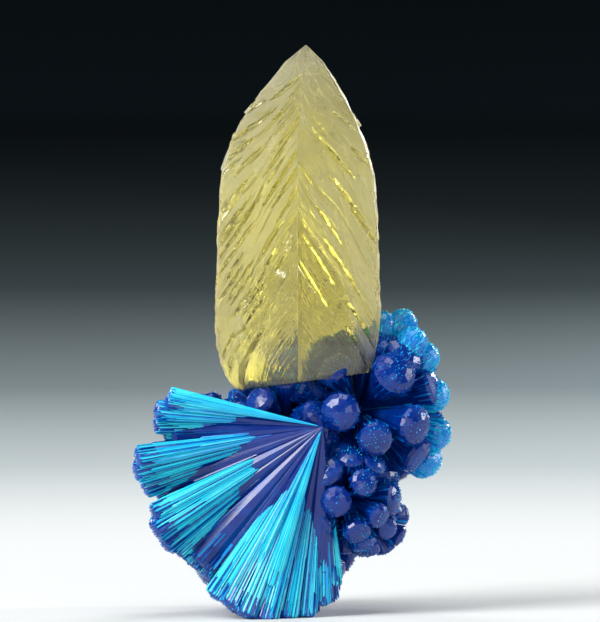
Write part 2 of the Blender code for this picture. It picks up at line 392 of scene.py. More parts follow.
    def bundle(self, bundle: Bundle, cut: BladeCut) -> None:
        """One bundle: its core, the blades in its end, and those along its sides.

        Args:
            bundle: the bundle.
            cut: how its blades are cut and coloured.
        """
        lift = self.chance.uniform(-cut.tone_spread, cut.tone_spread)
        middle = cut.painted_highlight_middle + lift
        self.core(bundle, cut, cut.painted_shade_rim)
        count = max(int(math.pi * bundle.end_radius**2 / cut.spacing**2), self.LEAST_BLADES)
        order = np.arange(count)
        share = np.sqrt((order + 0.5) / count) * self.chance.uniform(0.97, 1.03, count)
        turn = order * GOLDEN_TURN + self.chance.uniform(-0.2, 0.2, count)
        aims, reach = bundle.aims(share, turn)
        end = reach - self.chance.uniform(0.0, 1.0, count) ** 2 * cut.rough_end
        # Painted highlight in the middle of each end, fading to painted shade at its rim, over a
        # random hue.
        hue_and_painted_light = middle + (cut.painted_shade_rim - middle) * np.clip(share, 0.0, 1.0) ** 2.0
        hue_and_painted_light = hue_and_painted_light + self.chance.uniform(-0.12, 0.12, count)
        start = np.maximum(end - self.END_BLADE_LENGTH, bundle.length * self.END_START_SHARE)
        # Painted shade: each blade is darker at its start, deeper in the bundle.
        self.blades(bundle.root, aims, start, end, cut, hue_and_painted_light - 0.25, hue_and_painted_light)
        if cut.side_blades:
            self.side(bundle, cut, lift)

    def side(self, bundle: Bundle, cut: BladeCut, lift: float) -> None:
        """Long blades along the sides of a bundle.

        Args:
            bundle: the bundle.
            cut: how its blades are cut and coloured.
            lift: how much lighter than usual the bundle is.
        """
        count = cut.side_blades
        share = self.chance.uniform(0.86, 1.0, count)
        turn = np.arange(count) / count * 2.0 * math.pi + self.chance.uniform(-0.1, 0.1, count)
        aims, reach = bundle.aims(share, turn)
        short = self.chance.uniform(0.0, 1.0, count) ** 3 * 0.35
        end = reach * (1.0 - short)
        start = bundle.length * cut.side_start * self.chance.uniform(0.6, 1.8, count)
        # Painted shading of the sides: painted light on open faces, ribs and petals, painted shade
        # on rows and balls, and darker at each start as painted shade.
        hue_and_painted_light = cut.painted_side_shading + lift + self.chance.uniform(-0.18, 0.18, count)
        self.blades(bundle.root, aims, start, end, cut, hue_and_painted_light - 0.15, hue_and_painted_light)


@dataclass
class Rosette:
    """A ball of bundles about one centre, the same as in the solid."""

    centre: tuple[float, float, float]
    reach: float
    bundles: int
    half_angle: float
    seed: int
    cut: BladeCut

    def members(self) -> list[Bundle]:
        """Spread the bundles evenly over a ball, each a little off its place.

        Returns:
            The rosette's bundles.
        """
        chance = random.Random(self.seed)
        found = []
        for index in range(self.bundles):
            up = 1.0 - 2.0 * (index + 0.5) / self.bundles
            flat = math.sqrt(1.0 - up * up)
            turn = GOLDEN_TURN * index
            loose = np.array([chance.uniform(-0.10, 0.10) for _ in range(3)])
            aim = unit(np.array((flat * math.cos(turn), flat * math.sin(turn), up)) + loose)
            length = self.reach * chance.uniform(0.93, 1.0)
            half_angle = self.half_angle * chance.uniform(0.8, 1.1)
            found.append(Bundle(np.array(self.centre), aim, length, half_angle))
        return found

    def build(self, work: BladeWork) -> None:
        """Add every bundle of the rosette to a work in hand."""
        for member in self.members():
            work.bundle(member, self.cut)


@dataclass
class Petals:
    """Pointed petals at the rim of the upper right rosette."""

    root: tuple[float, float, float]
    cut: BladeCut
    blunt: float = 1.5
    # Direction, length and half angle
    each: tuple[tuple[tuple[float, float, float], float, float], ...] = (
        ((0.28, -0.20, 0.94), 6.0, 8.5),
        ((0.46, -0.10, 0.88), 6.45, 9.0),
        ((0.60, -0.30, 0.75), 6.1, 9.5),
        ((0.78, -0.15, 0.62), 5.8, 10.0),
        ((0.98, -0.10, 0.20), 5.4, 11.0),
        ((0.95, 0.00, -0.29), 5.6, 11.0),
        ((0.80, -0.10, -0.60), 5.8, 11.0),
    )

    def build(self, work: BladeWork) -> None:
        """Add every petal to a work in hand.

        Args:
            work: the blades so far.
        """
        for aim, length, half_angle in self.each:
            petal = Bundle(np.array(self.root), unit(np.array(aim)), length, half_angle, self.blunt)
            work.bundle(petal, self.cut)


@dataclass
class Fan:
    """The broken-open rosette at the front: lobes in its face, ribs on it, rows behind."""

    face_cut: BladeCut
    rib_cut: BladeCut
    row_cut: BladeCut
    centre: tuple[float, float, float] = (1.7, -5.2, 10.6)
    face_set_back: float = 1.3
    row_half_angle: float = 7.2
    short_above: float = 187.0
    short_factor: float = 0.85
    cut_angles: tuple[float, float] = (243.0, 266.0)
    cut_overrun: float = 0.5
    cut_stretch: float = 1.3
    seed: int = 21
    # Lobes in the open face: angle, back angle, length, half angle
    lobes: tuple[tuple[float, float, float, float], ...] = (
        (170.5, -8.0, 9.0, 3.2), (174.5, -5.0, 9.5, 3.6), (179.0, 0.0, 9.5, 3.8),
        (183.0, 4.0, 9.0, 3.2),
        (189.2, -8.0, 10.7, 3.4), (193.5, -5.0, 10.9, 3.8), (198.5, 1.0, 10.7, 4.0),
        (203.0, 6.0, 10.2, 3.4),
        (207.3, -7.0, 10.8, 3.2), (211.8, -6.0, 11.2, 3.8), (216.8, -1.0, 11.2, 4.0),
        (221.5, 3.0, 10.9, 3.6), (226.5, 6.0, 10.9, 3.8), (232.0, 7.0, 10.9, 3.6),
        (238.0, -3.0, 11.4, 3.6), (243.0, -8.0, 11.5, 4.0), (248.0, -9.0, 11.6, 3.8),
        (253.5, -8.0, 11.6, 3.8), (259.0, -5.0, 11.1, 3.6), (264.5, -2.0, 10.8, 3.6),
        (269.5, 1.0, 10.1, 3.4), (274.0, 4.0, 9.1, 3.2),
    )
    # Ribs that stand out of the face: angle, back angle, length, half angle
    ribs: tuple[tuple[float, float, float, float], ...] = (
        (168.3, 0.5, 8.8, 3.0), (252.0, -1.0, 9.5, 3.2), (245.0, 0.0, 10.0, 3.0),
    )
    # Rows behind the face: back angle, length, first angle, last angle, bundles
    rows: tuple[tuple[float, float, float, float, int], ...] = (
        (14.0, 10.6, 175.5, 268.0, 12),
        (25.0, 10.3, 176.0, 268.0, 11),
        (37.0, 9.6, 177.0, 270.0, 10),
        (50.0, 8.6, 180.0, 270.0, 8),
        (64.0, 7.8, 184.0, 270.0, 6),
    )

    def build_face(self, work: BladeWork) -> None:
        """Add the lobes and ribs of the open face to a work in hand.

        Args:
            work: the blades so far.
        """
        centre = np.array(self.centre)
        lobe_root = centre + np.array((0.0, self.face_set_back, 0.0))
        for angle, back, length, half_angle in self.lobes:
            lobe = Bundle(lobe_root, fan_direction(angle, back), length, half_angle)
            work.bundle(lobe, self.face_cut)
        for angle, back, length, half_angle in self.ribs:
            rib = Bundle(centre, fan_direction(angle, back), length, half_angle)
            work.bundle(rib, self.rib_cut)

    def build_rows(self, work: BladeWork) -> None:
        """Add the rows behind the face to a work in hand.

        Args:
            work: the blades so far.
        """
        chance = random.Random(self.seed)
        centre = np.array(self.centre)
        for back, length, first, last, bundles in self.rows:
            for index in range(bundles):
                even = first + (last - first) * index / (bundles - 1)
                angle = even + chance.uniform(-2.0, 2.0)
                aim = fan_direction(angle, back)
                reach = length * chance.uniform(0.95, 1.03)
                if angle < self.short_above:
                    reach *= self.short_factor
                if self.cut_angles[0] < angle < self.cut_angles[1]:
                    to_ground = (self.centre[2] + self.cut_overrun) / -aim[2]
                    reach = min(max(reach, to_ground), reach * self.cut_stretch)
                half_angle = self.row_half_angle * chance.uniform(0.9, 1.1)
                work.bundle(Bundle(centre, aim, reach, half_angle), self.row_cut)


@dataclass(frozen=True)
class Pit:
    """A lens-shaped pit along a row of plates, sizes in millimetres on the face."""

    face: int
    along: float
    level: float
    half_length: float
    half_width: float
    depth: float


@dataclass
class Crystal:
    """The calcite crystal: a pointed six-sided form with plates and pits on its faces."""

    apex_height: float = 32.0
    axis_top: tuple[float, float] = (0.79, -0.85)
    axis_low: tuple[float, float] = (0.34, -0.85)
    axis_straight_below: float = 27.0
    faces: int = 6
    depth_factor: float = 0.85
    face_bulge: float = 0.03
    # Height above the rest face, and half the width seen from the front
    profile: tuple[tuple[float, float], ...] = (
        (4.0, 2.4), (11.5, 2.7), (12.4, 3.1), (12.9, 3.5), (13.3, 3.8), (14.0, 4.15),
        (15.0, 4.35), (17.2, 4.45), (20.8, 4.35), (24.7, 4.15), (26.4, 3.7), (27.7, 3.15),
        (29.4, 2.12), (31.0, 1.05), (32.0, 0.0),
    )
    half_rise: float = 3.4
    rise_fade: float = 8.0
    level_lowest: float = 9.2
    level_highest: float = 31.75
    rows: int = 272
    fine_columns: int = 84
    plain_columns: int = 44
    face_width: float = 5.1
    window_level: float = 19.2
    window_inset: float = 0.10
    satin_frost: float = 0.62
    plate_frost: float = 0.80
    border_line_height: float = 0.055
    # Pits on each face, and the lowest and highest row that they lie on
    pits_on_face: tuple[int, ...] = (12, 22, 26, 26, 34, 64)
    pit_levels: tuple[float, float] = (15.0, 29.5)
    sharp_angle: float = 24.0
    underside_height: float = 13.0
    underside_rise: float = 0.13
    seed: int = 11
    pits: list[Pit] = field(default_factory=list)

    def columns(self) -> np.ndarray:
        """Place the columns of points round the crystal.

        Returns:
            Their places, as a count of faces from the front edge.
        """
        turns = []
        for face in range(self.faces):
            count = self.fine_columns if face in (0, self.faces - 1) else self.plain_columns
            turns.append(face + np.arange(count) / count)
        return np.concatenate(turns)

    def scatter_pits(self) -> None:
        """Strew the pits over the faces, most on the left front face."""
        chance = random.Random(self.seed)
        for face in (5, 0, 1, 2, 3, 4):
            amount = self.pits_on_face[face]
            tries = 0
            found: list[Pit] = []
            while len(found) < amount and tries < 4000:
                tries += 1
                level = chance.uniform(*self.pit_levels)
                long = chance.uniform(0.35, 1.0) ** 1.5
                pit = Pit(
                    face, chance.uniform(0.05, 0.95) * self.face_width, level,
                    0.35 + 1.35 * long, 0.11 + 0.22 * long * chance.uniform(0.6, 1.2),
                    0.10 + 0.20 * long,
                )
                if face == 5 and level < self.window_level + 0.5 and pit.along > 2.4:
                    continue
                if all(self.apart(pit, other) for other in found):
                    found.append(pit)
            self.pits.extend(found)

    @staticmethod
    def apart(first: Pit, second: Pit) -> bool:
        """Test whether two pits keep clear of each other.

        Args:
            first: one pit.
            second: another on the same face.

        Returns:
            True where they do.
        """
        across = abs(first.level - second.level) - first.half_width - second.half_width
        along = abs(first.along - second.along) - first.half_length - second.half_length
        return across > 0.22 or along > 0.15

    def relief(self, turn: np.ndarray, level: np.ndarray) -> tuple[np.ndarray, np.ndarray]:
        """How far the skin stands off the plain form, and how frosted it is.

        Args:
            turn: count of faces from the front edge, for each point.
            level: mean height of each point's row.

        Returns:
            Heights in millimetres, and a frost from 0 (clear) to 1 (frosted).
        """
        face = np.floor(turn).astype(int)
        along = (turn - face) * self.face_width
        # Distance from the nearer edge that the rows climb to
        to_high = np.where(face % 2 == 0, along, self.face_width - along)
        edge = np.minimum(turn - face, 1.0 - (turn - face))
        calm_edge = np.clip(edge / 0.05, 0.0, 1.0)
        height, tilt = self.plates(face, along, level)
        front_left = face == self.faces - 1
        front_right = face == 0
        strength = np.where(front_right, 0.35, 1.0)
        height = height * strength
        lines = self.fine_lines(along, level)
        near_high = np.clip(1.0 - to_high / 2.2, 0.0, 1.0)
        height += lines * (0.012 + 0.022 * near_high) * np.where(front_right, 0.5, 1.0)
        frost = np.where(front_right, self.satin_frost, self.plate_frost) + tilt
        # The clear window under the rows at the front
        depth_in = self.window_level - level
        in_window = np.clip(depth_in / 0.35, 0.0, 1.0) * (front_left | front_right)
        side_band = np.clip((to_high - 2.9 - 0.25 * depth_in) / 0.6, 0.0, 1.0)
        in_window = in_window * (1.0 - side_band)
        height = height * (1.0 - 0.55 * in_window) - self.window_inset * in_window
        frost = frost * (1.0 - 0.92 * in_window)
        # Bundles of bold lines along the upper border of the window
        border = np.exp(-(((depth_in + 0.35) / 0.75) ** 2)) * (front_left | front_right)
        height += border * lines * self.border_line_height
        for pit in self.pits:
            inside, floor = self.pit_shape(pit, face, along, level)
            height = height - floor * pit.depth
            frost = frost * (1.0 - 0.85 * inside)
        fade_top = np.clip((self.apex_height - level) / 3.0, 0.15, 1.0)
        height = height * (0.25 + 0.75 * calm_edge) * fade_top
        return height, np.clip(frost, 0.0, 1.0)

    @staticmethod
    def pit_shape(
        pit: Pit, face: np.ndarray, along: np.ndarray, level: np.ndarray
    ) -> tuple[np.ndarray, np.ndarray]:
        """Where a pit lies, and how deep it is as a share of its depth.

        Args:
            pit: the pit.
            face: face number of each point.
            along: place of each point along its row.
            level: mean height of each point's row.

        Returns:
            A mask of 0 or 1, and the depth: steep on the upper side, gentle below.
        """
        along_share = (along - pit.along) / pit.half_length
        reach = pit.half_width * np.clip(1.0 - along_share**2, 0.0, 1.0)
        across = (level - pit.level) / np.maximum(reach, 1e-6)
        inside = ((face == pit.face) & (np.abs(across) < 1.0) & (reach > 0.01)).astype(float)
        ramp = (across + 1.0) / 2.0
        steep = np.clip((1.0 - ramp) / 0.25, 0.0, 1.0)
        return inside, inside * np.minimum(ramp * 1.2, 1.0) * steep

    def plates(
        self, face: np.ndarray, along: np.ndarray, level: np.ndarray
    ) -> tuple[np.ndarray, np.ndarray]:
        """Overlapping plates, each tilted its own way.

        Args:
            face: face number of each point.
            along: place of each point along its row.
            level: mean height of each point's row.

        Returns:
            Heights in millimetres, and a change of frost for each plate.
        """
        chance = np.random.default_rng(self.seed)
        table = chance.uniform(-1.0, 1.0, (6, 64, 64, 4))
        height = np.zeros_like(level)
        tilt = np.zeros_like(level)
        # Two sizes of plate: pitch across, pitch along, slope, lip
        for layer, (across_pitch, along_pitch, slope, lip) in enumerate(
            ((1.25, 1.9, 0.10, 0.10), (0.52, 0.85, 0.12, 0.035))
        ):
            wave = 0.25 * np.sin(along * 1.7 + face * 2.1 + layer) * across_pitch
            row_value = (level + wave) / across_pitch
            row = np.floor(row_value).astype(int)
            up = row_value - row
            shift = table[face, row % 64, (layer * 7) % 64, 3]
            cell_value = along / along_pitch + shift + 0.35 * up
            cell = np.floor(cell_value).astype(int)
            side = cell_value - cell
            own = table[face, row % 64, (cell + 31 * layer) % 64]
            height += own[..., 0] * slope * (up - 0.5) * across_pitch
            height += own[..., 1] * slope * (side - 0.5) * along_pitch * 0.6
            height += lip * (0.5 - up) * 1.2 + own[..., 2] * lip * 0.35
            tilt += own[..., 2] * (0.16 if layer == 0 else 0.10)
        return height, tilt

    @staticmethod
    def fine_lines(along: np.ndarray, level: np.ndarray) -> np.ndarray:
        """Fine steps that run along the rows.

        Args:
            along: place of each point along its row.
            level: mean height of each point's row.

        Returns:
            A height for each point, from about -1 to 1.
        """
        wander = 0.05 * np.sin(along * 3.1) + 0.04 * np.sin(along * 7.3 + 1.0)
        first = (level + wander) / 0.34
        second = (level * 1.07 + wander * 2.0) / 0.21
        saw = (first - np.floor(first)) + 0.6 * (second - np.floor(second))
        return saw / 0.8 - 1.0

    def skin(self) -> tuple[np.ndarray, np.ndarray, np.ndarray]:
        """Work out the skin row by row.

        Returns:
            The points, the frost of each, and its place on the unrolled faces.
        """
        turns = self.columns()
        levels = np.linspace(self.level_lowest, self.level_highest, self.rows)
        turn, level = np.meshgrid(turns, levels)
        face = np.floor(turn)
        share = (turn - face)[..., None]
        first = np.radians(-90.0 + 60.0 * face)
        second = np.radians(-30.0 + 60.0 * face)
        squeeze = np.array((1.0, self.depth_factor))
        corner_a = np.stack((np.cos(first), np.sin(first)), axis=-1) * squeeze
        corner_b = np.stack((np.cos(second), np.sin(second)), axis=-1) * squeeze
        flat = corner_a + (corner_b - corner_a) * share
        flat = flat * (1.0 + self.face_bulge * (1.0 - (2.0 * share - 1.0) ** 2))
        climb = np.where(face % 2 == 0, 1.0, -1.0) * (1.0 - 2.0 * share[..., 0])
        fade = np.clip((self.apex_height - level) / self.rise_fade, 0.0, 1.0)
        height = level + self.half_rise * fade * climb
        heights, widths = zip(*self.profile)
        radius = np.interp(height, heights, widths) / math.cos(math.radians(30.0))
        span = self.apex_height - self.axis_straight_below
        lean = np.clip((height - self.axis_straight_below) / span, 0.0, 1.0)[..., None]
        axis = np.array(self.axis_low) + (np.array(self.axis_top) - self.axis_low) * lean
        off, frost = self.relief(turn, level)
        outward = unit(flat)
        place = axis + flat * radius[..., None] + outward * off[..., None]
        points = np.concatenate((place, height[..., None]), axis=-1)
        points[..., 2] = np.minimum(points[..., 2], self.apex_height)
        growth = np.stack((share[..., 0] * self.face_width + face * 7.0, level), axis=-1)
        return points, frost, growth

    def build(self, finish: bpy.types.Material) -> None:
        """Build the crystal, cut its sloping underside and place it.

        Args:
            finish: the calcite's material.
        """
        self.scatter_pits()
        points, frost, growth = self.skin()
        rows, columns = points.shape[:2]
        number = np.arange(rows * columns).reshape(rows, columns)
        after = np.roll(number, -1, axis=1)
        quads = np.stack((number[:-1], after[:-1], after[1:], number[1:]), axis=-1).reshape(-1)
        tip = rows * columns
        bottom = tip + 1
        cap_top = np.stack((number[-1], after[-1], np.full(columns, tip)), axis=-1)
        cap_low = np.stack((after[0], number[0], np.full(columns, bottom)), axis=-1)
        tris = np.concatenate((cap_top, cap_low)).reshape(-1)
        tip_point = np.array((*self.axis_top, self.apex_height))
        low_point = np.array((*self.axis_low, self.level_lowest))
        flat_points = np.concatenate((points.reshape(-1, 3), (tip_point, low_point)))
        mesh = mesh_from_faces("calcite_point", (flat_points - BOX_MIDDLE) * MM, quads, tris)
        self.store_value(mesh, "frost", np.append(frost.reshape(-1), (0.5, 0.0)))
        self.store_value(mesh, "growth_along", np.append(growth[..., 0].reshape(-1), (0.0, 0.0)))
        self.store_value(mesh, "growth_level", np.append(growth[..., 1].reshape(-1), (31.0, 9.0)))
        self.cut_underside(mesh)
        mesh.set_sharp_from_angle(angle=math.radians(self.sharp_angle))
        place_piece(mesh, finish, Node.CRYSTAL)

    @staticmethod
    def store_value(mesh: bpy.types.Mesh, name: str, values: np.ndarray) -> None:
        """Keep one number for each point of a mesh.

        Args:
            mesh: the mesh.
            name: the name that the numbers get.
            values: the numbers.
        """
        store = mesh.attributes.new(name, "FLOAT", "POINT")
        store.data.foreach_set("value", values.astype(np.float32))

    def cut_underside(self, mesh: bpy.types.Mesh) -> None:
        """Cut the mesh by the sloping plane of the underside and close it.

        Args:
            mesh: the crystal's mesh.
        """
        work = bmesh.new()
        work.from_mesh(mesh)
        point = (Vector((0.0, 0.0, self.underside_height)) - Vector(BOX_MIDDLE)) * MM
        normal = Vector((-self.underside_rise, 0.0, 1.0)).normalized()
        everything = work.verts[:] + work.edges[:] + work.faces[:]
        result = bmesh.ops.bisect_plane(
            work, geom=everything, plane_co=point, plane_no=normal, clear_inner=True)
        edges = [item for item in result["geom_cut"] if isinstance(item, bmesh.types.BMEdge)]
        filled = bmesh.ops.triangle_fill(work, edges=edges, use_beauty=True)
        bmesh.ops.recalc_face_normals(work, faces=work.faces)
        LOG.info("underside closed with %d faces", len(filled["geom"]))
        work.to_mesh(mesh)
        work.free()


class Recipe:
    """A material's node tree with short calls to add and link nodes."""

    def __init__(self, name: str) -> None:
        """Make an empty material with its output.

        Args:
            name: the material's name.
        """
        self.material = bpy.data.materials.new(name)
        self.material.use_nodes = True
        self.tree = self.material.node_tree
        self.tree.nodes.clear()
        self.output = self.tree.nodes.new("ShaderNodeOutputMaterial")

    def node(self, kind: str, **settings: object) -> bpy.types.Node:
        """Add a node and set its properties.

        Args:
            kind: the node's type.
            settings: values by property name.

        Returns:
            The node.
        """
        made = self.tree.nodes.new(kind)
        for key, value in settings.items():
            setattr(made, key, value)
        return made

    def link(self, start: bpy.types.NodeSocket, end: bpy.types.NodeSocket) -> None:
        """Link one socket to another."""
        self.tree.links.new(start, end)

    def shader(self, **numbers: float) -> bpy.types.Node:
        """Add the Principled shader and link it to the output.

        Args:
            numbers: plain values by socket name, with _ for each space.

        Returns:
            The shader's node.
        """
        made = self.node("ShaderNodeBsdfPrincipled")
        for key, value in numbers.items():
            made.inputs[key.replace("_", " ")].default_value = value
        self.link(made.outputs["BSDF"], self.output.inputs["Surface"])
        return made


@dataclass(frozen=True)
class GrainGroup:
    """The node group of fine grain that both minerals use."""

    name: str = "fine_grain"

    def tree(self) -> bpy.types.NodeTree:
        """Build the group once, and find it after that.

        Returns:
            The group's tree.
        """
        found = bpy.data.node_groups.get(self.name)
        if found:
            return found
        tree = bpy.data.node_groups.new(self.name, "ShaderNodeTree")
        tree.interface.new_socket("Vector", in_out="INPUT", socket_type="NodeSocketVector")
        tree.interface.new_socket("Scale", in_out="INPUT", socket_type="NodeSocketFloat")
        tree.interface.new_socket("Detail", in_out="INPUT", socket_type="NodeSocketFloat")
        tree.interface.new_socket("Mask", in_out="OUTPUT", socket_type="NodeSocketFloat")
        start = tree.nodes.new("NodeGroupInput")
        end = tree.nodes.new("NodeGroupOutput")
        noise = tree.nodes.new("ShaderNodeTexNoise")
        tree.links.new(start.outputs["Vector"], noise.inputs["Vector"])
        tree.links.new(start.outputs["Scale"], noise.inputs["Scale"])
        tree.links.new(start.outputs["Detail"], noise.inputs["Detail"])
        tree.links.new(noise.outputs["Fac"], end.inputs["Mask"])
        return tree


def grain(
    recipe: Recipe, vector: bpy.types.NodeSocket, scale: float, detail: float
) -> bpy.types.NodeSocket:
    """Place the shared grain in a material.

    Args:
        recipe: the material in hand.
        vector: the coordinates of the grain.
        scale: how many grains a unit.
        detail: how many finer layers it has.

    Returns:
        The socket of its mask.
    """
    made = recipe.node("ShaderNodeGroup")
    made.node_tree = GrainGroup().tree()
    recipe.link(vector, made.inputs["Vector"])
    made.inputs["Scale"].default_value = scale
    made.inputs["Detail"].default_value = detail
    return made.outputs["Mask"]


@dataclass(frozen=True)
class CavansiteFinish:
    """Vitreous blue with painted light and shade: painted shade makes it deep in the gaps and at
    the rims, painted light makes it turquoise where blades lie open.
    """

    name: str
    roughness: float = 0.22
    # Tone, with painted light and shade over a random hue, and its colour
    stops: tuple[tuple[float, tuple[float, float, float]], ...] = (
        (0.0, (0.0, 0.020, 0.200)),
        (0.28, (0.0, 0.090, 0.480)),
        (0.55, (0.0, 0.300, 0.780)),
        (0.80, (0.004, 0.560, 0.820)),
        (1.0, (0.060, 0.760, 0.860)),
    )

    def material(self) -> bpy.types.Material:
        """Build the material.

        Returns:
            The finished material.
        """
        recipe = Recipe(self.name)
        shader = recipe.shader(IOR=1.54, Metallic=0.0)
        # The tone attribute paints light and shade into the base colour, over a random hue.
        hue_and_painted_light = recipe.node("ShaderNodeAttribute", attribute_name="hue_and_painted_light")
        place = recipe.node("ShaderNodeTexCoord")
        soft = grain(recipe, place.outputs["Object"], 700.0, 3.0)
        mixed = recipe.node("ShaderNodeMath", operation="MULTIPLY_ADD")
        recipe.link(soft, mixed.inputs[0])
        mixed.inputs[1].default_value = 0.35
        mixed.inputs[2].default_value = -0.175
        total = recipe.node("ShaderNodeMath", operation="ADD")
        recipe.link(mixed.outputs[0], total.inputs[0])
        recipe.link(hue_and_painted_light.outputs["Fac"], total.inputs[1])
        ramp = recipe.node("ShaderNodeValToRGB")
        points = ramp.color_ramp.elements
        while len(points) < len(self.stops):
            points.new(0.5)
        for point, (position, colour) in zip(points, self.stops):
            point.position = position
            point.color = (*colour, 1.0)
        recipe.link(total.outputs[0], ramp.inputs["Fac"])
        recipe.link(ramp.outputs["Color"], shader.inputs["Base Color"])
        rough = recipe.node("ShaderNodeMapRange")
        recipe.link(soft, rough.inputs["Value"])
        rough.inputs["To Min"].default_value = self.roughness - 0.08
        rough.inputs["To Max"].default_value = self.roughness + 0.12
        recipe.link(rough.outputs["Result"], shader.inputs["Roughness"])
        return recipe.material


@dataclass(frozen=True)
class CalciteFinish:
    """Clear honey calcite: glassy in the pits and the window, frosted on the plates."""

    name: str = "honey_calcite_skin"
    ior: float = 1.6
    clear: float = 0.05
    frosted: float = 0.42
    absorbed: tuple[float, float, float] = (0.907, 0.85, 0.04)
    density: float = 300.0

    def material(self) -> bpy.types.Material:
        """Build the material.

        Returns:
            The finished material.
        """
        recipe = Recipe(self.name)
        shader = recipe.shader(IOR=self.ior, Metallic=0.0, Transmission_Weight=0.9)
        frost = recipe.node("ShaderNodeAttribute", attribute_name="frost")
        along = recipe.node("ShaderNodeAttribute", attribute_name="growth_along")
        level = recipe.node("ShaderNodeAttribute", attribute_name="growth_level")
        lay = recipe.node("ShaderNodeCombineXYZ")
        recipe.link(along.outputs["Fac"], lay.inputs["X"])
        recipe.link(level.outputs["Fac"], lay.inputs["Y"])
        stretch = recipe.node("ShaderNodeVectorMath", operation="MULTIPLY")
        recipe.link(lay.outputs["Vector"], stretch.inputs[0])
        stretch.inputs[1].default_value = (1.6, 7.0, 1.0)
        strokes = grain(recipe, stretch.outputs["Vector"], 1.6, 4.0)
        specks = grain(recipe, lay.outputs["Vector"], 9.0, 2.0)
        rough = recipe.node("ShaderNodeMapRange")
        recipe.link(frost.outputs["Fac"], rough.inputs["Value"])
        rough.inputs["To Min"].default_value = self.clear
        rough.inputs["To Max"].default_value = self.frosted
        recipe.link(rough.outputs["Result"], shader.inputs["Roughness"])
        colour = recipe.node("ShaderNodeMix", data_type="RGBA")
        recipe.link(frost.outputs["Fac"], colour.inputs["Factor"])
        colour.inputs["A"].default_value = (0.97, 0.93, 0.62, 1.0)
        colour.inputs["B"].default_value = (0.97, 0.96, 0.86, 1.0)
        recipe.link(colour.outputs["Result"], shader.inputs["Base Color"])
        both = recipe.node("ShaderNodeMath", operation="MULTIPLY_ADD")
        recipe.link(specks, both.inputs[0])
        both.inputs[1].default_value = 0.6
        recipe.link(strokes, both.inputs[2])
        height = recipe.node("ShaderNodeMath", operation="MULTIPLY")
        recipe.link(both.outputs[0], height.inputs[0])
        recipe.link(frost.outputs["Fac"], height.inputs[1])
        bump = recipe.node("ShaderNodeBump")
        bump.inputs["Strength"].default_value = 0.9
        bump.inputs["Distance"].default_value = 0.12 * MM
        recipe.link(height.outputs[0], bump.inputs["Height"])
        recipe.link(bump.outputs["Normal"], shader.inputs["Normal"])
        inside = recipe.node("ShaderNodeVolumeAbsorption")
        inside.inputs["Color"].default_value = (*self.absorbed, 1.0)
        inside.inputs["Density"].default_value = self.density
        recipe.link(inside.outputs["Volume"], recipe.output.inputs["Volume"])
        return recipe.material


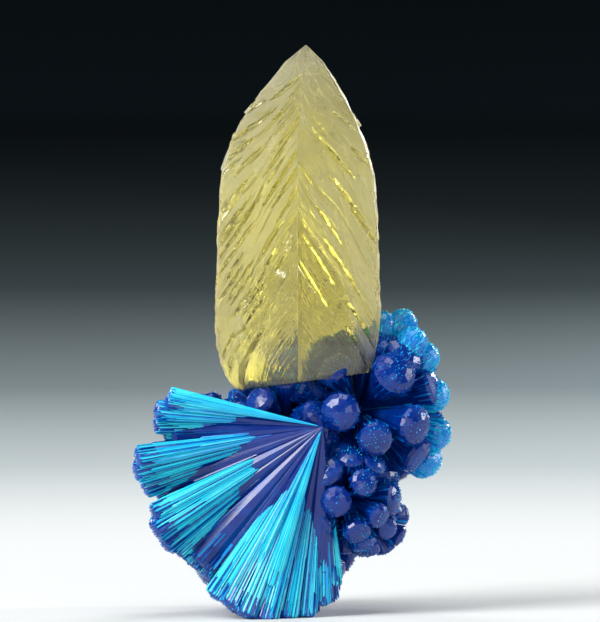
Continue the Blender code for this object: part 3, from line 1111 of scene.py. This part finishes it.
@dataclass
class Studio:
    """Pale floor that coves up into a backdrop painted darker with height as painted shade, with
    soft lamps and the camera.
    """

    flat_to: float = 60.0
    wall_radius: float = 470.0
    wall_height: float = 620.0
    cove_height: float = 48.0
    cove_to: float = 420.0
    cove_steps: int = 20
    sides: int = 128
    photo_size: tuple[float, float] = (600.0, 622.0)
    photo_scale: float = 17.7
    look_height: float = 17.0
    look_right: float = 0.364
    camera_distance: float = 250.0
    sensor: float = 36.0
    # Height in millimetres, and the backdrop's colour there, darker upwards as painted shade
    painted_shade_grades: tuple[tuple[float, tuple[float, float, float]], ...] = (
        (0.0, (0.62, 0.64, 0.64)),
        (3.0, (0.36, 0.40, 0.41)),
        (9.0, (0.15, 0.18, 0.19)),
        (20.0, (0.045, 0.06, 0.065)),
        (45.0, (0.010, 0.016, 0.020)),
        (100.0, (0.002, 0.004, 0.006)),
    )

    def floor(self) -> None:
        """Build the floor and backdrop as one turned sheet."""
        profile = [(0.0, 0.0), (self.flat_to, 0.0)]
        for step in range(1, self.cove_steps + 1):
            share = step / self.cove_steps
            radius = self.flat_to + (self.cove_to - self.flat_to) * share
            profile.append((radius, self.cove_height * share**2))
        profile.append((self.wall_radius, self.cove_height + 90.0))
        profile.append((self.wall_radius + 10.0, self.wall_height))
        turns = np.arange(self.sides) / self.sides * 2.0 * math.pi
        points = [np.array([(0.0, 0.0, 0.0)])]
        for radius, height in profile[1:]:
            ring = np.stack((np.cos(turns) * radius, np.sin(turns) * radius,
                             np.full(self.sides, height)), axis=1)
            points.append(ring)
        step = np.arange(self.sides)
        after = (step + 1) % self.sides
        tris = np.stack((np.zeros_like(step), 1 + step, 1 + after), axis=1).reshape(-1)
        quads = []
        for ring in range(len(profile) - 2):
            low = 1 + ring * self.sides
            high = low + self.sides
            quads.append(np.stack((low + step, high + step, high + after, low + after), axis=1))
        mesh = mesh_from_faces(
            "studio_floor", np.concatenate(points) * MM, np.concatenate(quads).reshape(-1), tris)
        mesh.materials.append(self.backdrop_material())
        sheet = bpy.data.objects.new("studio_floor", mesh)
        bpy.context.scene.collection.objects.link(sheet)

    def backdrop_material(self) -> bpy.types.Material:
        """Build a matt finish whose colour is graded by height, darker upwards as painted shade.

        Returns:
            The finished material.
        """
        recipe = Recipe("studio_sheet")
        shader = recipe.shader(Roughness=0.9, Specular_IOR_Level=0.0)
        place = recipe.node("ShaderNodeTexCoord")
        split = recipe.node("ShaderNodeSeparateXYZ")
        recipe.link(place.outputs["Object"], split.inputs["Vector"])
        top = self.painted_shade_grades[-1][0]
        share = recipe.node("ShaderNodeMapRange")
        recipe.link(split.outputs["Z"], share.inputs["Value"])
        share.inputs["From Max"].default_value = top * MM
        ramp = recipe.node("ShaderNodeValToRGB")
        points = ramp.color_ramp.elements
        while len(points) < len(self.painted_shade_grades):
            points.new(0.5)
        for point, (height, colour) in zip(points, self.painted_shade_grades):
            point.position = height / top
            point.color = (*colour, 1.0)
        recipe.link(share.outputs["Result"], ramp.inputs["Fac"])
        recipe.link(ramp.outputs["Color"], shader.inputs["Base Color"])
        return recipe.material

    def lamp(
        self, name: str, turn: float, rise: float, distance: float,
        size: tuple[float, float], radiance: float,
        colour: tuple[float, float, float] = (1.0, 1.0, 1.0),
    ) -> None:
        """A rectangular soft lamp that faces the crystal.

        Args:
            name: the lamp's name.
            turn: degrees from the camera's side, to the right.
            rise: degrees above level.
            distance: millimetres from the specimen.
            size: its width and height in millimetres.
            radiance: its brightness.
            colour: its colour.
        """
        data = bpy.data.lights.new(name, "AREA")
        data.shape = "RECTANGLE"
        data.size, data.size_y = size[0] * MM, size[1] * MM
        data.energy = radiance * math.pi * data.size * data.size_y
        data.color = colour
        lamp = bpy.data.objects.new(name, data)
        bpy.context.scene.collection.objects.link(lamp)
        turn, rise = math.radians(turn), math.radians(rise)
        away = Vector((math.sin(turn) * math.cos(rise), -math.cos(turn) * math.cos(rise),
                       math.sin(rise)))
        target = Vector((0.0, 0.0, self.look_height)) * MM
        lamp.location = target + away * distance * MM
        lamp.rotation_euler = away.to_track_quat("Z", "Y").to_euler()
        lamp.visible_camera = False

    def lamps(self) -> None:
        """Key at the upper left, strip at the right, two behind, and a low front fill."""
        self.lamp("key_left", -48.0, 34.0, 320.0, (150.0, 190.0), 15.0)
        self.lamp("top_soft", 10.0, 78.0, 300.0, (200.0, 140.0), 4.0)
        self.lamp("strip_right", 100.0, 12.0, 300.0, (60.0, 200.0), 14.0)
        self.lamp("back_right", 150.0, 20.0, 300.0, (90.0, 120.0), 16.0)
        self.lamp("back_left", -140.0, 25.0, 300.0, (80.0, 120.0), 12.0)
        self.lamp("front_fill", 25.0, 12.0, 330.0, (200.0, 120.0), 3.0)
        world = bpy.data.worlds.new("studio_air")
        world.use_nodes = True
        world.node_tree.nodes["Background"].inputs["Color"].default_value = (0.03, 0.03, 0.032, 1.0)
        bpy.context.scene.world = world

    def camera(self) -> None:
        """A level camera that frames the specimen as the photograph does."""
        data = bpy.data.cameras.new("camera")
        tall = self.photo_size[1] / self.photo_scale
        data.sensor_width = self.sensor
        data.lens = self.sensor * self.camera_distance / tall
        data.clip_start = 0.01
        data.clip_end = 4.0
        camera = bpy.data.objects.new("camera", data)
        bpy.context.scene.collection.objects.link(camera)
        camera.location = Vector((self.look_right, -self.camera_distance, self.look_height)) * MM
        camera.rotation_euler = (math.radians(90.0), 0.0, 0.0)
        bpy.context.scene.camera = camera

    def build(self) -> None:
        """Build the whole studio."""
        self.floor()
        self.lamps()
        self.camera()
        bpy.context.scene.view_settings.view_transform = "Standard"


# Each cut's side, middle and rim tones are painted light and shade: light on the open face, ribs,
# petals and the middles of ends, shade on the rows behind, the balls' sides and every rim.
FACE_CUT = BladeCut(
    width=0.11, spacing=0.115, rough_end=0.22, side_blades=110, side_start=0.10,
    painted_side_shading=0.86, painted_highlight_middle=0.42, painted_shade_rim=0.30, tone_spread=0.12)
RIB_CUT = BladeCut(
    width=0.10, spacing=0.12, rough_end=0.25, side_blades=130, side_start=0.05,
    painted_side_shading=0.92, painted_highlight_middle=0.55, painted_shade_rim=0.45, tone_spread=0.05)
ROW_CUT = BladeCut(
    width=0.16, spacing=0.165, rough_end=0.22, side_blades=30, side_start=0.45,
    painted_side_shading=0.40, painted_highlight_middle=0.50, painted_shade_rim=0.12, tone_spread=0.14)
BALL_CUT = BladeCut(
    width=0.17, spacing=0.185, rough_end=0.20, side_blades=16, side_start=0.55,
    painted_side_shading=0.35, painted_highlight_middle=0.66, painted_shade_rim=0.22, tone_spread=0.18)
PETAL_CUT = BladeCut(
    width=0.13, spacing=0.13, rough_end=0.16, side_blades=90, side_start=0.35,
    painted_side_shading=0.82, painted_highlight_middle=0.85, painted_shade_rim=0.62, tone_spread=0.06)


@dataclass
class Cavansite:
    """All the blue rosettes, as a few pieces."""

    upper: Rosette = field(default_factory=lambda: Rosette(
        (3.7, 0.4, 11.4), 5.35, 34, 14.5, 3, BALL_CUT))
    lower: tuple[Rosette, ...] = (
        Rosette((2.9, -1.9, 6.6), 3.6, 28, 15.5, 5, BALL_CUT),
        Rosette((4.4, -1.0, 5.3), 2.4, 18, 18.0, 6, BALL_CUT),
    )
    back: tuple[Rosette, ...] = (
        Rosette((-0.3, -0.8, 10.6), 3.8, 28, 15.0, 7, BALL_CUT),
        Rosette((-1.0, 1.6, 4.2), 5.2, 36, 14.0, 9, BALL_CUT),
        Rosette((-3.5, 1.3, 8.9), 3.9, 30, 15.0, 13, BALL_CUT),
    )
    fan: Fan = field(default_factory=lambda: Fan(FACE_CUT, RIB_CUT, ROW_CUT))

    def build(self, finish: bpy.types.Material) -> None:
        """Build every piece of the cavansite.

        Args:
            finish: the cavansite's material.
        """
        upper = BladeWork(31)
        self.upper.build(upper)
        Petals(self.upper.centre, PETAL_CUT).build(upper)
        lower = BladeWork(32)
        for rosette in self.lower:
            rosette.build(lower)
        back = BladeWork(33)
        for rosette in self.back:
            rosette.build(back)
        face = BladeWork(34)
        self.fan.build_face(face)
        rows = BladeWork(35)
        self.fan.build_rows(rows)
        works = {
            "upper_rosette_blades": upper, "lower_rosette_blades": lower,
            "back_rosette_blades": back, "fan_face_blades": face, "fan_row_blades": rows,
        }
        for name, work in works.items():
            mesh = work.store.to_mesh(name, "hue_and_painted_light")
            place_piece(mesh, finish, Node.ROSETTES)


def main() -> None:
    """Build the studio and the specimen's pieces in order."""
    logging.basicConfig(level=logging.INFO, format="%(message)s")
    Studio().build()
    Crystal().build(CalciteFinish().material())
    Cavansite().build(CavansiteFinish("cavansite_blue").material())


if __name__ == "__main__":
    main()
